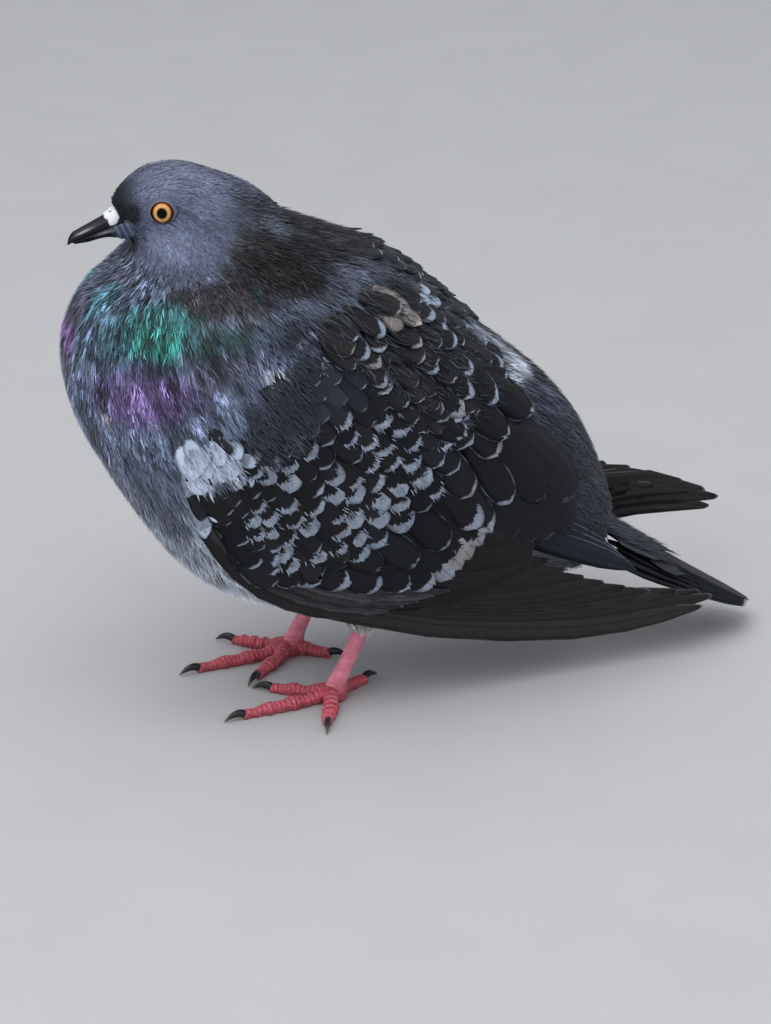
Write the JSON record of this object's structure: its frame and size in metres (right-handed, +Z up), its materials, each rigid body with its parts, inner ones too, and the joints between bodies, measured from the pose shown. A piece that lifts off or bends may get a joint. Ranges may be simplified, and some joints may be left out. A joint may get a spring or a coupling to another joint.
{
  "type": "feral pigeon, still model",
  "caption": "Life-size feral pigeon, dark chequered, standing fluffed and hunched on both feet with its wings folded and its tail lowered: a still display model.",
  "frame": {"origin": "on the floor, under the middle of the model's box", "axes": "-X is forward, the way the bill points; -Y is the bird's left; +Z is up"},
  "size_m": [0.2634, 0.11, 0.2069],
  "materials": {
    "head_feathers": "soft blue-grey feathers, darker on the forehead and paler on the cheeks",
    "neck_feathers": "loose barbed feathers, black-brown behind, glossed green in front and purple below",
    "body_feathers": "soft slate-grey feathers, chequered black and pale grey on the back, paler below",
    "covert_feathers": "black vanes with pale grey notched tips in rows",
    "flight_feathers": "long brown-black vanes with fine dull edges",
    "bill_horn": "black horn, glossy",
    "cere_skin": "white powdery bare skin",
    "eye": "orange-gold iris round a black pupil under a clear wet surface",
    "scaly_skin": "pink-red scutes with paler edges",
    "claw_horn": "black horn, greyer towards the tip"
  },
  "bodies": {
    "root": {"bill_lower": "bill_horn", "bill_upper": "bill_horn", "cere": "cere_skin", "claw_left_hind": "claw_horn", "claw_left_inner": "claw_horn", "claw_left_middle": "claw_horn", "claw_left_outer": "claw_horn", "claw_right_hind": "claw_horn", "claw_right_inner": "claw_horn", "claw_right_middle": "claw_horn", "claw_right_outer": "claw_horn", "eye_left": "eye", "eye_right": "eye", "head": "head_feathers", "leg_left": "scaly_skin", "leg_right": "scaly_skin", "neck": "neck_feathers", "rump": "body_feathers", "tail": "flight_feathers", "thigh_left": "body_feathers", "thigh_right": "body_feathers", "toe_left_hind": "scaly_skin", "toe_left_inner": "scaly_skin", "toe_left_middle": "scaly_skin", "toe_left_outer": "scaly_skin", "toe_right_hind": "scaly_skin", "toe_right_inner": "scaly_skin", "toe_right_middle": "scaly_skin", "toe_right_outer": "scaly_skin", "trunk": "body_feathers", "wing_left_coverts": "covert_feathers", "wing_left_primaries": "flight_feathers", "wing_left_secondaries": "flight_feathers", "wing_right_coverts": "covert_feathers", "wing_right_primaries": "flight_feathers", "wing_right_secondaries": "flight_feathers"}
  },
  "joints": []
}
